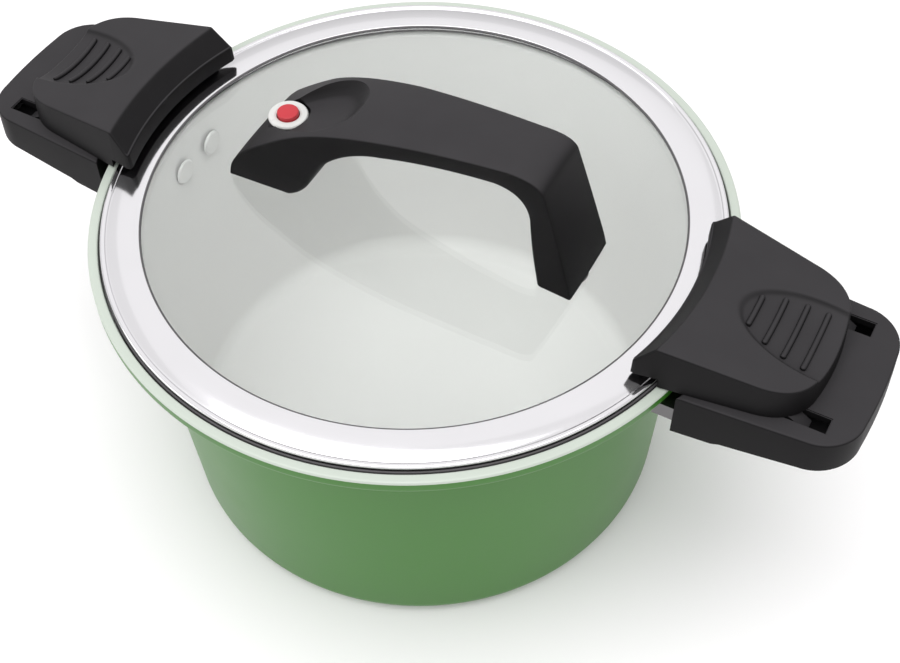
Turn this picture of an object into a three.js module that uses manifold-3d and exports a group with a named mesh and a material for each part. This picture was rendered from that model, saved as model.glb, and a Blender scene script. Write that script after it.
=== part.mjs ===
// Low-pressure casserole with a locking glass lid, in millimetres.
// It stands on z = 0 with its axis on Z. The two side handles and the lid handle lie along X.

import * as THREE from 'three';
import { mergeVertices } from 'three/addons/utils/BufferGeometryUtils.js';
import Module from 'manifold-3d';

const wasm = await Module();
wasm.setup();

// Driving dimensions
const ROUND_STEPS = 60; // facets around the large turned parts
const SMOOTH_STEPS = 28; // facets around the valve's parts
const ROD_STEPS = 14; // facets around screws and bores
const GAP = 0.3; // clearance between pieces that touch
const CUT_Z = [110, 220]; // height range of a cutting tool that goes right through
const CUT_HALF = 50; // half width of a cutting tool

const RIM_R = 134.8; // pot flange
const RIM_Z = 144.7;
const RIM_BAND = 3.6; // flat width of the flange's top edge
const SEAT_Z = 138.6; // ledge that carries the gasket
const WALL_TOP_R = 117.8; // outside of the pot wall, under the flange
const WALL_BOTTOM_R = 109.9;
const WALL = 2.9;
const WALL_BOTTOM_Z = 10.4; // top of the foot's corner
const WALL_TOP_Z = 133;
const FLOOR_Z = 4.3; // inside of the pot's floor
const FOOT_Z = 0.4;
const FOOT_CORNER = 10;
const FLOOR_CORNER = 8;
const LEDGE_R = RIM_R - RIM_BAND - 0.8; // wall around the gasket
const BASE_PLATE_R = 89;
const BASE_PLATE_T = 2;

const GLASS_R = 118;
const GLASS_T = 4;
const GLASS_TOP_Z = 148.8; // at the middle of the dome
const GLASS_DROP = 2; // how far the dome falls to the band's inner edge
const BAND_INNER_R = 113.2; // polished steel band around the glass
const BAND_OUTER_R = 129.4;
const BAND_INNER_Z = 147.9;
const BAND_OUTER_Z = 146.6;
const BAND_T = 0.7;
const LEAF_Z = [141.6, 142.3]; // lower leaf of the band
const LEAF_INNER_R = 115.4;
const GASKET_INNER_R = 116.8;

const VALVE_X = -58.5;
const VALVE_BODY_R = 6.2;
const VALVE_FOOT_R = 5.2; // part of the sleeve that goes through the glass
const VALVE_FOOT_Z = 139.4;
const VALVE_MOUTH_R = 7.6;
const VALVE_MOUTH_Z = 171.3;
const VALVE_BORE_R = 4.9;
const VALVE_SHOULDER_Z = 162; // seat of the spring inside the sleeve
const VALVE_CAP_R = 8.4;
const VALVE_CAP_Z = 173.3;
const BUTTON_R = 4.5;
const BUTTON_BOTTOM_Z = 169.4;
const BUTTON_TOP_Z = 174.8;
const STEM_R = 1.5;
const STEM_BOTTOM_Z = 134.2;
const PLUG_Z = 135.6;
const SPRING_R = 3.2;
const SPRING_WIRE_R = 0.35;
const SPRING_TURNS = 5;
const HANDLE_FOOT_Z = 149.1; // underside of the lid handle's feet
const HANDLE_SCREW_X = 72;
const DISH = { x: -37.5, semiX: 15, semiY: 13.5, floorZ: 183.3 }; // thumb dish beside the valve
const DISH_CHANNEL = { x: [-50, -40], half: 6, floorZ: 180.5 };

const GRIP_TOP_Z = 145.3; // lower, fixed half of a side handle
const GRIP_INNER_R = 139.5;
const GRIP_END_X = 200.5;
const GRIP_HALF_INNER = 40;
const GRIP_HALF_OUTER = 36.5;
const GRIP_CORNER = 18;
const GRIP_WALL = 3;
const GRIP_ROOF = 3.4;
const SLOT_Y = [22, 29];
const SLOT_X = [156.5, 188];

const RIVET_Y = 10.4;
const RIVET_Z = 122.3;
const RIVET_R = 2.5;
const RIVET_HOLE_R = 2.8;
const RIVET_HEAD = { r: 6, t: 1.5, x: 112.2 }; // flat head inside the pot
const RIVET_TAIL = { r: 4.2, t: 1.6, x: 121.3 }; // closed head outside the bracket
const BRACKET_BACK_R = WALL_TOP_R + 1.1;
const BRACKET_BACK_T = 2;
const BRACKET_BOTTOM_Z = 114;
const BRACKET_HALF = 33;
const SHELF_HALF = 37;
const CHEEK_T = 2;
const CHEEK_Z = 127.3;
const TONGUE_Z = [132, 134.5]; // bracket tongue that enters the grip
const TONGUE_X = [134, 156];
const TONGUE_HALF = 14;
const BRACKET_SCREW_X = 149;
const COVER_SCREW_X = 192.5;
const COVER_T = 2.2;
const COVER_SCREW_Z = 127.4;
const BOSS_HOLE_Z = [130, 141]; // blind screw holes in the grip's bosses
const BOSS_SCREW_TIP_Z = 140.4;

const LIP_R = 121.5; // inner edge of the sliding lock, over the lid band
const LIP_Z = 150; // underside of the lock over the lid
const LIP_TOP_Z = 156.8;
const LOCK_BACK_R = 131.4; // where the lock's underside steps down to the grip
const LOCK_BOTTOM_Z = 145.6;
const LOCK_TOP_Z = 165.7; // at the lock's inner edge
const LOCK_TOP_R = 128.4;
const LOCK_END_X = 182;
const LOCK_END_Z = 158.2;
const LOCK_WALL = 3.2;
const LEG_X = [157, 175.7];
const PLATE_Z = [137.9, 139.7]; // steel plate that keeps the lock on its grip
const LOCK_SCREW_X = 166;
const LOCK_SCREW_TIP_Z = 150.4;
const SCREW_HOLE_TOP_Z = 151;
const SCOOP = { x: 175, semiX: 35, semiY: 19, height: 10, depth: 3.6 }; // thumb scoop in the lock
const RIB_PROUD = 1.4; // how far the ribs stand above the scoop's floor
const RIB_HALF_T = 1.1;
const RIBS = [[147.5, 8], [155.7, 12.5], [163.9, 14.5], [172.1, 15.3]]; // [x, half length]
const SPRING_LEAF = { radius: 19.4, t: 0.6, halfAngle: 42, width: 8, x: 170 }; // detent spring

// Turns a closed three.js geometry into a solid that faces outward.
function closed(geometry) {
  geometry.deleteAttribute('normal');
  geometry.deleteAttribute('uv');
  const merged = mergeVertices(geometry, 1e-4);
  const positions = merged.attributes.position.array;
  const index = merged.index.array;
  const triangles = [];
  let volume = 0;
  const [a, b, c] = [new THREE.Vector3(), new THREE.Vector3(), new THREE.Vector3()];
  for (let i = 0; i < index.length; i += 3) {
    const [ia, ib, ic] = index.slice(i, i + 3);
    if (ia === ib || ib === ic || ic === ia) continue;
    triangles.push([ia, ib, ic]);
    a.fromArray(positions, 3 * ia);
    b.fromArray(positions, 3 * ib);
    c.fromArray(positions, 3 * ic);
    volume += a.dot(b.cross(c));
  }
  if (volume < 0) triangles.forEach((triangle) => triangle.reverse());
  return new wasm.Manifold(new wasm.Mesh({
    numProp: 3,
    vertProperties: new Float32Array(positions),
    triVerts: new Uint32Array(triangles.flat()),
  }));
}

// A solid of revolution about Z from [radius, z] points.
function turned(points, steps = ROUND_STEPS) {
  const profile = points.map(([r, z]) => new THREE.Vector2(r, z));
  const geometry = new THREE.LatheGeometry(profile, steps);
  geometry.rotateX(Math.PI / 2);
  return closed(geometry);
}

// A turned solid whose section is a closed ring of [radius, z] points, off the axis.
function ring(points, steps = ROUND_STEPS) {
  return turned([...points, points[0]], steps);
}

// A vertical round rod.
function rod(radius, bottom, top, x = 0, y = 0, steps = ROD_STEPS) {
  const geometry = new THREE.CylinderGeometry(radius, radius, top - bottom, steps);
  geometry.rotateX(Math.PI / 2);
  geometry.translate(x, y, (bottom + top) / 2);
  return closed(geometry);
}

// A round rod along X.
function crossRod(radius, from, to, y, z, steps = ROD_STEPS) {
  const geometry = new THREE.CylinderGeometry(radius, radius, to - from, steps);
  geometry.rotateZ(Math.PI / 2);
  geometry.translate((from + to) / 2, y, z);
  return closed(geometry);
}

function block([x0, x1], [y0, y1], [z0, z1]) {
  const geometry = new THREE.BoxGeometry(x1 - x0, y1 - y0, z1 - z0);
  geometry.translate((x0 + x1) / 2, (y0 + y1) / 2, (z0 + z1) / 2);
  return closed(geometry);
}

// A plan outline raised from bottom to top.
function raised(shape, bottom, top, curveSegments = 6) {
  const options = { depth: top - bottom, bevelEnabled: false, curveSegments };
  const geometry = new THREE.ExtrudeGeometry(shape, options);
  geometry.translate(0, 0, bottom);
  return closed(geometry);
}

// A side outline of [x, z] points, spread evenly to both sides of y = 0.
function spread(shape, halfWidth, curveSegments = 6) {
  const options = { depth: 2 * halfWidth, bevelEnabled: false, curveSegments };
  const geometry = new THREE.ExtrudeGeometry(shape, options);
  geometry.rotateX(Math.PI / 2);
  geometry.translate(0, halfWidth, 0);
  return closed(geometry);
}

function polygon(points) {
  return new THREE.Shape(points.map(([x, y]) => new THREE.Vector2(x, y)));
}

function arcPoints(cx, cy, radius, fromDeg, toDeg, steps) {
  const points = [];
  for (let i = 0; i <= steps; i += 1) {
    const angle = THREE.MathUtils.degToRad(fromDeg + ((toDeg - fromDeg) * i) / steps);
    points.push([cx + radius * Math.cos(angle), cy + radius * Math.sin(angle)]);
  }
  return points;
}

// Materials
function finish(color, roughness, metalness = 0, extra = {}) {
  return new THREE.MeshStandardMaterial({ color, roughness, metalness, ...extra });
}

const materials = {
  pot: finish(0x56834e, 0.3, 0.1),
  steel: finish(0xd8d6d6, 0.12, 1),
  satinSteel: finish(0x8f8c8f, 0.4, 1),
  plastic: finish(0x1d1d1f, 0.6),
  glass: finish(0xd8dcd8, 0.05, 0, { transparent: true, opacity: 0.35 }),
  silicone: finish(0x5a585a, 0.8),
  red: finish(0xd02f3c, 0.4),
  white: finish(0xefeeec, 0.4),
};

function named(name, solid, material) {
  const data = solid.getMesh();
  const positions = new THREE.BufferAttribute(new Float32Array(data.vertProperties), 3);
  const geometry = new THREE.BufferGeometry();
  geometry.setAttribute('position', positions);
  geometry.setIndex(new THREE.BufferAttribute(new Uint32Array(data.triVerts), 1));
  geometry.computeVertexNormals();
  const mesh = new THREE.Mesh(geometry, material);
  mesh.name = name;
  return mesh;
}

// Pot: pressed aluminium with a wide rolled flange, and a steel disc let into its foot.
function wallRadius(z) {
  const share = (z - WALL_BOTTOM_Z) / (WALL_TOP_Z - WALL_BOTTOM_Z);
  return WALL_BOTTOM_R + (WALL_TOP_R - WALL_BOTTOM_R) * share;
}

function potBody() {
  const insideTopR = wallRadius(SEAT_Z) - WALL;
  const insideBottomR = wallRadius(FLOOR_Z + FLOOR_CORNER) - WALL;
  const footArcR = WALL_BOTTOM_R - FOOT_CORNER;
  const pot = turned([
    [0, BASE_PLATE_T + GAP],
    [BASE_PLATE_R + GAP, BASE_PLATE_T + GAP],
    [BASE_PLATE_R + GAP, FOOT_Z],
    ...arcPoints(footArcR, FOOT_Z + FOOT_CORNER, FOOT_CORNER, -90, 0, 5),
    [WALL_TOP_R, WALL_TOP_Z],
    [WALL_TOP_R + 0.8, 134.6],
    [WALL_TOP_R + 2.4, 135.3],
    [RIM_R - 4.4, 136.4],
    [RIM_R - 1.4, 138.4],
    [RIM_R, 141.2],
    [RIM_R, RIM_Z - 0.7],
    [RIM_R - 0.7, RIM_Z],
    [LEDGE_R + 0.5, RIM_Z],
    [LEDGE_R, RIM_Z - 0.5],
    [LEDGE_R, SEAT_Z],
    [insideTopR + 1.4, SEAT_Z],
    [insideTopR, SEAT_Z - 1.4],
    ...arcPoints(insideBottomR - FLOOR_CORNER, FLOOR_Z + FLOOR_CORNER, FLOOR_CORNER, 0, -90, 4),
    [0, FLOOR_Z],
  ]);
  let holes = null;
  for (const y of [-RIVET_Y, RIVET_Y]) {
    const hole = crossRod(RIVET_HOLE_R, -RIM_R, RIM_R, y, RIVET_Z);
    holes = holes ? holes.add(hole) : hole;
  }
  return pot.subtract(holes);
}

function basePlate() {
  return rod(BASE_PLATE_R, 0, BASE_PLATE_T, 0, 0, ROUND_STEPS);
}

// Side handle, drawn on the +X side; the other is the same set turned half a turn.
function gripOutline(inset) {
  const endBulge = 1.6;
  const innerY = GRIP_HALF_INNER - inset;
  const outerY = GRIP_HALF_OUTER - inset;
  const innerR = GRIP_INNER_R + inset;
  const corner = GRIP_CORNER - inset;
  const cornerX = GRIP_END_X - GRIP_CORNER;
  const cornerY = outerY - corner;
  const innerAngle = Math.asin(innerY / innerR);
  const shape = new THREE.Shape();
  shape.moveTo(innerR * Math.cos(innerAngle), -innerY);
  shape.lineTo(cornerX, -outerY);
  shape.absarc(cornerX, -cornerY, corner, -Math.PI / 2, 0);
  shape.quadraticCurveTo(cornerX + corner + endBulge, 0, cornerX + corner, cornerY);
  shape.absarc(cornerX, cornerY, corner, 0, Math.PI / 2);
  shape.lineTo(innerR * Math.cos(innerAngle), innerY);
  shape.absarc(0, 0, innerR, innerAngle, -innerAngle, true);
  return shape;
}

// Underside of the grip: a deeper collar by the pot, then a slope that rises to the end.
function gripUnderside(lift) {
  const line = [[130, 123.9], [150, 124.6], [151, 125.7], [204, 130.6]];
  return line.map(([x, z]) => [x, z + lift]);
}

// A tool that cuts or keeps everything inside a plan outline.
function throughPlan(shape, top = CUT_Z[1], curveSegments = 6) {
  return raised(shape, CUT_Z[0], top, curveSegments);
}

function grip() {
  const roofZ = GRIP_TOP_Z - GRIP_ROOF;
  const side = polygon([...gripUnderside(0), [204, GRIP_TOP_Z], [130, GRIP_TOP_Z]]);
  const coverBossZ = 132.4;
  const mouthX = [130, 144];
  const mouthHalf = TONGUE_HALF + 0.4;
  const shell = throughPlan(gripOutline(0)).intersect(spread(side, CUT_HALF));
  const hollow = throughPlan(gripOutline(GRIP_WALL), roofZ, 5);
  const bracketBoss = rod(5, TONGUE_Z[1] + GAP, roofZ + 1, BRACKET_SCREW_X);
  const coverBoss = rod(3.2, coverBossZ, roofZ + 1, COVER_SCREW_X);
  const mouthZ = [TONGUE_Z[0] - GAP, TONGUE_Z[1] + GAP];
  let solid = shell.subtract(hollow).add(bracketBoss).add(coverBoss);
  solid = solid.subtract(block(mouthX, [-mouthHalf, mouthHalf], mouthZ));
  solid = solid.subtract(rod(2, ...BOSS_HOLE_Z, BRACKET_SCREW_X));
  solid = solid.subtract(rod(1.6, ...BOSS_HOLE_Z, COVER_SCREW_X));
  for (const sign of [-1, 1]) {
    const slotY = SLOT_Y.map((y) => y * sign).sort((p, q) => p - q);
    solid = solid.subtract(block(SLOT_X, slotY, [roofZ - 1, GRIP_TOP_Z + 1]));
  }
  return solid;
}

function gripCover() {
  const side = polygon([...gripUnderside(0), ...gripUnderside(COVER_T).reverse()]);
  const outline = throughPlan(gripOutline(GRIP_WALL + GAP), CUT_Z[1], 5);
  const plate = outline.intersect(spread(side, CUT_HALF));
  const driverHole = rod(4.5, ...CUT_Z, BRACKET_SCREW_X);
  const screwHole = rod(1.6, ...CUT_Z, COVER_SCREW_X);
  return plate.subtract(driverHole).subtract(screwHole);
}

// Pressed bracket: a curved back on the pot's wall, a shelf with two cheeks, and the tongue.
function bracket() {
  const backOuterR = BRACKET_BACK_R + BRACKET_BACK_T;
  const z = [BRACKET_BOTTOM_Z, TONGUE_Z[1]];
  const reachX = [100, 150];
  const back = ring([
    [BRACKET_BACK_R, z[0]],
    [backOuterR, z[0]],
    [backOuterR, z[1]],
    [BRACKET_BACK_R, z[1]],
  ]);
  const backPart = back.intersect(block(reachX, [-BRACKET_HALF, BRACKET_HALF], z));
  const inside = rod(GRIP_INNER_R - GAP, ...CUT_Z, 0, 0, ROUND_STEPS);
  const core = rod(BRACKET_BACK_R, ...CUT_Z, 0, 0, ROUND_STEPS);
  const between = inside.subtract(core);
  const shelf = block(reachX, [-SHELF_HALF, SHELF_HALF], TONGUE_Z).intersect(between);
  const tongue = block(TONGUE_X, [-TONGUE_HALF, TONGUE_HALF], TONGUE_Z);
  let solid = backPart.add(shelf).add(tongue);
  for (const sign of [-1, 1]) {
    const cheekY = [(SHELF_HALF - CHEEK_T) * sign, SHELF_HALF * sign].sort((p, q) => p - q);
    solid = solid.add(block(reachX, cheekY, [CHEEK_Z, TONGUE_Z[1]]).intersect(between));
    solid = solid.subtract(crossRod(RIVET_HOLE_R, ...reachX, RIVET_Y * sign, RIVET_Z));
  }
  return solid.subtract(rod(2.3, ...CUT_Z, BRACKET_SCREW_X));
}

// Rivet with a wide flat head inside the pot and a small closed head outside the bracket.
function rivet(y) {
  const { x: headX, t: headT } = RIVET_HEAD;
  const { x: tailX, t: tailT } = RIVET_TAIL;
  const head = crossRod(RIVET_HEAD.r, headX - headT, headX, y, RIVET_Z, 18);
  const shank = crossRod(RIVET_R, headX - headT / 2, tailX + tailT / 2, y, RIVET_Z);
  const tail = crossRod(RIVET_TAIL.r, tailX, tailX + tailT, y, RIVET_Z);
  return head.add(shank).add(tail);
}

// Pan-head screw that points up.
function screw(x, y, headR, headZ, headT, shankR, tipZ) {
  const head = rod(headR, headZ, headZ + headT, x, y);
  return head.add(rod(shankR, headZ + headT / 2, tipZ, x, y, 12));
}

// Sliding lock: a lip over the lid, a sloping top with a ribbed thumb scoop, and two legs.
function lockOutline(inset) {
  const cornerX = LOCK_END_X - 17;
  const corner = 15 - inset;
  const shape = new THREE.Shape();
  shape.moveTo(108, -40.4 + inset);
  shape.lineTo(128, -38.6 + inset);
  shape.lineTo(cornerX, -33.4 + inset);
  shape.quadraticCurveTo(cornerX + corner - 1, -31 + inset, cornerX + corner + 0.5, -18);
  shape.quadraticCurveTo(LOCK_END_X + 1.6 - inset, 0, cornerX + corner + 0.5, 18);
  shape.quadraticCurveTo(cornerX + corner - 1, 31 - inset, cornerX, 33.4 - inset);
  shape.lineTo(128, 38.6 - inset);
  shape.lineTo(108, 40.4 - inset);
  return shape;
}

function lockTop(x, drop = 0) {
  const slope = (LOCK_TOP_Z - LOCK_END_Z) / (LOCK_END_X - LOCK_TOP_R);
  return LOCK_TOP_Z - drop - slope * (x - LOCK_TOP_R);
}

// A thumb scoop cut by an ellipsoid whose bottom lies `depth` under the top face.
function scoop(depth) {
  const { x, semiX, semiY, height } = SCOOP;
  const aboveFace = height - SCOOP.depth;
  const spreadScale = 1 / Math.sqrt(1 - (aboveFace / height) ** 2);
  const geometry = new THREE.SphereGeometry(1, 28, 20);
  geometry.scale(semiX * spreadScale, semiY * spreadScale, height);
  geometry.rotateY(Math.atan2(LOCK_TOP_Z - LOCK_END_Z, LOCK_END_X - LOCK_TOP_R));
  geometry.translate(x, 0, lockTop(x) + height - depth);
  return closed(geometry);
}

// The y range of one leg, which has half a millimetre of play on each side of its slot.
function legRange(sign) {
  return [(SLOT_Y[0] + 0.5) * sign, (SLOT_Y[1] - 0.5) * sign].sort((p, q) => p - q);
}

function lockScrewHole(sign) {
  const y = (sign * (SLOT_Y[0] + SLOT_Y[1])) / 2;
  return rod(1.6, CUT_Z[0], SCREW_HOLE_TOP_Z, LOCK_SCREW_X, y, 12);
}

function lockSlider() {
  const nearX = 100;
  const farX = 190;
  const lipSteps = 96;
  const innerFlare = 4;
  const topFlareZ = LOCK_TOP_Z + 5.2;
  const side = polygon([
    [nearX, LOCK_BOTTOM_Z],
    [farX, LOCK_BOTTOM_Z],
    [farX, lockTop(farX)],
    [nearX, lockTop(nearX)],
  ]);
  let solid = throughPlan(lockOutline(0)).intersect(spread(side, CUT_HALF));
  solid = solid.subtract(turned([
    [0, CUT_Z[0]],
    [LIP_R, CUT_Z[0]],
    [LIP_R, LIP_TOP_Z],
    [LOCK_TOP_R, LOCK_TOP_Z],
    [LOCK_TOP_R + innerFlare, topFlareZ],
    [0, topFlareZ],
  ], lipSteps));
  solid = solid.subtract(rod(LOCK_BACK_R, CUT_Z[0], LIP_Z, 0, 0, lipSteps));
  const hollowX = 135.5;
  const hollowSide = polygon([
    [hollowX, CUT_Z[0]],
    [farX, CUT_Z[0]],
    [farX, lockTop(farX, 6)],
    [hollowX, lockTop(hollowX, 4)],
  ]);
  const hollowPlan = throughPlan(lockOutline(LOCK_WALL), CUT_Z[1], 4);
  solid = solid.subtract(hollowPlan.intersect(spread(hollowSide, CUT_HALF)));
  const legSide = spread(polygon([
    [LEG_X[0], CUT_Z[0]],
    [LEG_X[1], CUT_Z[0]],
    [LEG_X[1], 143],
    [LEG_X[1] - 2.5, lockTop(LEG_X[1], 4)],
    [LEG_X[0], lockTop(LEG_X[0], 4)],
  ]), CUT_HALF);
  for (const sign of [-1, 1]) {
    const leg = block(LEG_X, legRange(sign), [PLATE_Z[1] + GAP, CUT_Z[1]]);
    solid = solid.add(leg.intersect(legSide)).subtract(lockScrewHole(sign));
  }
  let ribs = null;
  for (const [x, half] of RIBS) {
    const rib = block([x - RIB_HALF_T, x + RIB_HALF_T], [-half, half], CUT_Z);
    ribs = ribs ? ribs.add(rib) : rib;
  }
  const between = scoop(SCOOP.depth).subtract(ribs);
  return solid.subtract(between).subtract(scoop(SCOOP.depth - RIB_PROUD));
}

function lockPlate() {
  const plateHalf = 30.5;
  let solid = block([LEG_X[0], LEG_X[1] - 0.7], [-plateHalf, plateHalf], PLATE_Z);
  for (const sign of [-1, 1]) {
    solid = solid.subtract(lockScrewHole(sign));
  }
  return solid;
}

// Bowed leaf spring between the grip's cover and the lock's plate.
function detentSpring() {
  const { radius, t, halfAngle, width, x } = SPRING_LEAF;
  const coverSlopeDeg = 5;
  const steps = 10;
  const outer = arcPoints(0, -radius, radius, 90 + halfAngle, 90 - halfAngle, steps);
  const inner = arcPoints(0, -radius, radius - t, 90 - halfAngle, 90 + halfAngle, steps);
  const leaf = spread(polygon([...outer, ...inner]), width / 2);
  return leaf.rotate([0, -coverSlopeDeg, 0]).translate([x, 0, PLATE_Z[0] - GAP]);
}

function sideHandle(side) {
  const group = new THREE.Group();
  const bracketHeadT = 2;
  const coverHeadT = 1.7;
  const lockHeadT = 1.6;
  group.add(named(`${side}_bracket`, bracket(), materials.satinSteel));
  group.add(named(`${side}_rivet_a`, rivet(-RIVET_Y), materials.satinSteel));
  group.add(named(`${side}_rivet_b`, rivet(RIVET_Y), materials.satinSteel));
  group.add(named(`${side}_grip`, grip(), materials.plastic));
  group.add(named(`${side}_grip_cover`, gripCover(), materials.plastic));
  const bracketHeadZ = TONGUE_Z[0] - GAP - bracketHeadT;
  const tipZ = BOSS_SCREW_TIP_Z;
  const bracketScrew = screw(BRACKET_SCREW_X, 0, 3.8, bracketHeadZ, bracketHeadT, 1.7, tipZ);
  group.add(named(`${side}_bracket_screw`, bracketScrew, materials.satinSteel));
  const coverScrew = screw(COVER_SCREW_X, 0, 2.8, COVER_SCREW_Z, coverHeadT, 1.3, tipZ);
  group.add(named(`${side}_cover_screw`, coverScrew, materials.satinSteel));
  group.add(named(`${side}_lock_slider`, lockSlider(), materials.plastic));
  group.add(named(`${side}_lock_plate`, lockPlate(), materials.satinSteel));
  const screwY = (SLOT_Y[0] + SLOT_Y[1]) / 2;
  const lockHeadZ = PLATE_Z[0] - GAP - lockHeadT;
  for (const [letter, y] of [['a', -screwY], ['b', screwY]]) {
    const lockScrew = screw(LOCK_SCREW_X, y, 2.8, lockHeadZ, lockHeadT, 1.3, LOCK_SCREW_TIP_Z);
    group.add(named(`${side}_lock_screw_${letter}`, lockScrew, materials.satinSteel));
  }
  group.add(named(`${side}_detent_spring`, detentSpring(), materials.satinSteel));
  return group;
}

// Lid: domed glass in a polished steel band with a silicone gasket under it.
function glassTop(r) {
  return GLASS_TOP_Z - GLASS_DROP * (r / BAND_INNER_R) ** 2;
}

function lidGlass() {
  const radii = [0, 30, 60, 90, GLASS_R];
  const bottom = radii.map((r) => [r, glassTop(r) - GLASS_T]);
  const top = radii.map((r) => [r, glassTop(r)]).reverse();
  const glass = turned([...bottom, ...top]);
  const valveHole = rod(VALVE_FOOT_R + GAP, ...CUT_Z, VALVE_X);
  return glass.subtract(valveHole).subtract(rod(2.6, ...CUT_Z, HANDLE_SCREW_X));
}

function lidBand() {
  const hemR = BAND_OUTER_R;
  return ring([
    [BAND_INNER_R, BAND_INNER_Z],
    [BAND_INNER_R, BAND_INNER_Z - BAND_T],
    [hemR - 2.2, BAND_OUTER_Z - BAND_T - 0.2],
    [hemR - 2.2, LEAF_Z[1]],
    [LEAF_INNER_R, LEAF_Z[1]],
    [LEAF_INNER_R, LEAF_Z[0]],
    [hemR - 1.4, LEAF_Z[0]],
    [hemR - 0.7, LEAF_Z[0] + 0.8],
    [hemR - 0.7, BAND_OUTER_Z - 2],
    [hemR, BAND_OUTER_Z - 1.2],
    [hemR, BAND_OUTER_Z - 0.2],
    [hemR - 0.9, BAND_OUTER_Z + 0.4],
    [hemR - 1.9, BAND_OUTER_Z],
  ]);
}

function lidGasket() {
  const outerR = LEDGE_R - GAP - 0.2;
  const lipZ = RIM_Z - GAP;
  return ring([
    [GASKET_INNER_R, SEAT_Z + GAP],
    [outerR, SEAT_Z + GAP],
    [outerR, lipZ],
    [outerR - 0.9, lipZ],
    [outerR - 1.1, LEAF_Z[0] - 0.6],
    [GASKET_INNER_R, LEAF_Z[0] - 0.4],
  ]);
}

// Lid handle: a bridge with a wide foot at each end, a well for the valve and a thumb dish.
function handleSide() {
  const shape = new THREE.Shape();
  shape.moveTo(-78, HANDLE_FOOT_Z);
  shape.lineTo(-75.5, 154);
  shape.quadraticCurveTo(-71, 164.5, -60, 171.5);
  shape.quadraticCurveTo(-36, 190.5, -5, 196);
  shape.quadraticCurveTo(20, 200, 50, 201.3);
  shape.quadraticCurveTo(59.5, 201.5, 62.5, 197);
  shape.quadraticCurveTo(67, 174, 80.5, 154);
  shape.lineTo(81, HANDLE_FOOT_Z);
  shape.lineTo(64, HANDLE_FOOT_Z);
  shape.quadraticCurveTo(60.5, 165, 59.5, 178.5);
  shape.quadraticCurveTo(57.5, 192.5, 43, 192.2);
  shape.quadraticCurveTo(14, 191.5, -4, 186.8);
  shape.quadraticCurveTo(-24, 181, -35, 161.5);
  shape.quadraticCurveTo(-39.5, 151.5, -44.5, HANDLE_FOOT_Z);
  shape.lineTo(-78, HANDLE_FOOT_Z);
  return shape;
}

function handlePlan() {
  const shape = new THREE.Shape();
  shape.moveTo(-79, -19.5);
  shape.quadraticCurveTo(-60, -21.8, -42, -20.6);
  shape.quadraticCurveTo(-5, -18.2, 50, -14);
  shape.quadraticCurveTo(64, -14, 77.5, -17.8);
  shape.quadraticCurveTo(84.5, 0, 77.5, 17.8);
  shape.quadraticCurveTo(64, 14, 50, 14);
  shape.quadraticCurveTo(-5, 18.2, -42, 20.6);
  shape.quadraticCurveTo(-60, 21.8, -79, 19.5);
  return shape;
}

function lidHandle() {
  const well = rod(VALVE_CAP_R + 0.7, VALVE_CAP_Z - 3.5, CUT_Z[1], VALVE_X, 0, SMOOTH_STEPS);
  const bore = rod(VALVE_BODY_R + GAP, ...CUT_Z, VALVE_X, 0, SMOOTH_STEPS);
  const dish = rod(1, DISH.floorZ, CUT_Z[1], 0, 0, 32)
    .scale([DISH.semiX, DISH.semiY, 1])
    .translate([DISH.x, 0, 0]);
  const { x, half, floorZ } = DISH_CHANNEL;
  const channel = block(x, [-half, half], [floorZ, CUT_Z[1]]);
  const screwHole = rod(2, CUT_Z[0], 166, HANDLE_SCREW_X);
  const solid = spread(handleSide(), CUT_HALF).intersect(throughPlan(handlePlan()));
  return solid.subtract(well).subtract(bore).subtract(dish).subtract(channel).subtract(screwHole);
}

// Underside of the glass at a plan radius, where the lid's fixings sit.
function glassUnder(r) {
  return glassTop(r) - GLASS_T;
}

function lidScrew() {
  const headT = 2.2;
  const headZ = glassUnder(HANDLE_SCREW_X) - 5;
  return screw(HANDLE_SCREW_X, 0, 4.2, headZ, headT, 1.7, 164);
}

function lidWasher() {
  const under = glassUnder(HANDLE_SCREW_X);
  const disc = rod(8, under - 2.4, under - 0.5, HANDLE_SCREW_X);
  return disc.subtract(rod(2.2, ...CUT_Z, HANDLE_SCREW_X));
}

// Valve: a steel sleeve clamped through the glass, a white cap, and a sprung red button on a stem.
function aroundValve(solid) {
  return solid.translate([VALVE_X, 0, 0]);
}

function valveSleeve() {
  const stepZ = HANDLE_FOOT_Z + 0.6;
  const stemHoleR = STEM_R + 0.6;
  return aroundValve(ring([
    [stemHoleR, VALVE_FOOT_Z],
    [VALVE_FOOT_R, VALVE_FOOT_Z],
    [VALVE_FOOT_R, stepZ],
    [VALVE_BODY_R, stepZ],
    [VALVE_BODY_R, VALVE_MOUTH_Z - 1.2],
    [VALVE_MOUTH_R, VALVE_MOUTH_Z - 0.9],
    [VALVE_MOUTH_R, VALVE_MOUTH_Z],
    [VALVE_BORE_R, VALVE_MOUTH_Z],
    [VALVE_BORE_R, VALVE_SHOULDER_Z],
    [stemHoleR, VALVE_SHOULDER_Z],
  ], SMOOTH_STEPS));
}

function valveCap() {
  const chamfer = 0.4;
  return aroundValve(ring([
    [VALVE_BORE_R, VALVE_MOUTH_Z + GAP],
    [VALVE_CAP_R, VALVE_MOUTH_Z + GAP],
    [VALVE_CAP_R, VALVE_CAP_Z - chamfer],
    [VALVE_CAP_R - chamfer, VALVE_CAP_Z],
    [VALVE_BORE_R, VALVE_CAP_Z],
  ], SMOOTH_STEPS));
}

function valveNut() {
  const under = glassUnder(VALVE_X);
  const nut = rod(9, under - 5.2, under - 1.9, VALVE_X, 0, 6);
  return nut.subtract(rod(VALVE_FOOT_R + GAP, ...CUT_Z, VALVE_X));
}

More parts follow.
